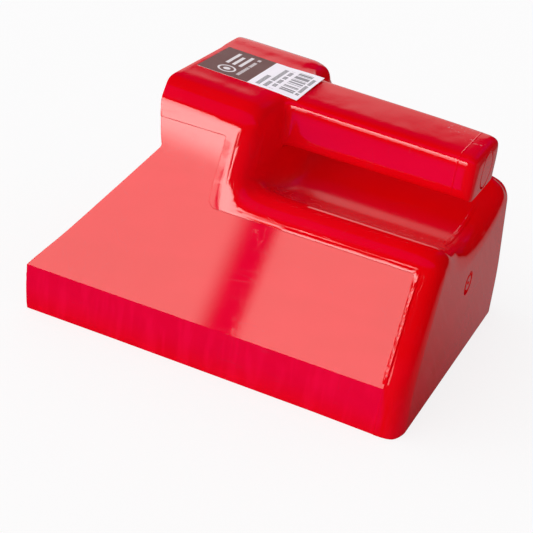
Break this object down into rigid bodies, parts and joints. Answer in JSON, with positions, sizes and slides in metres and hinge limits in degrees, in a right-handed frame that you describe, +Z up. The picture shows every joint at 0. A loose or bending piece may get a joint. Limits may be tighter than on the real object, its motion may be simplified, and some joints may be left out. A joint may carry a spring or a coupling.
{
  "type": "enclosed feed scoop",
  "caption": "Enclosed one-hand feed scoop in glossy red moulded plastic, with a flat sole, an oblique mouth, a hood, a trough and a hollow free-ended handle.",
  "frame": {"origin": "centre of the bounding box on the plane of the sole, which is the surface the scoop rests on", "axes": "+Z up; +X towards the rear wall and the free end of the handle; the mouth opens towards -X; +Y completes the right-handed frame, across the scoop"},
  "size_m": [0.224, 0.192, 0.1413],
  "materials": {
    "scoop_plastic": "glossy injection-moulded polypropylene, lightly scuffed",
    "label_paper": "satin printed adhesive label, brown field and plain white field"
  },
  "bodies": {
    "root": {"scoop_body": "scoop_plastic", "product_label": "label_paper"}
  },
  "joints": []
}
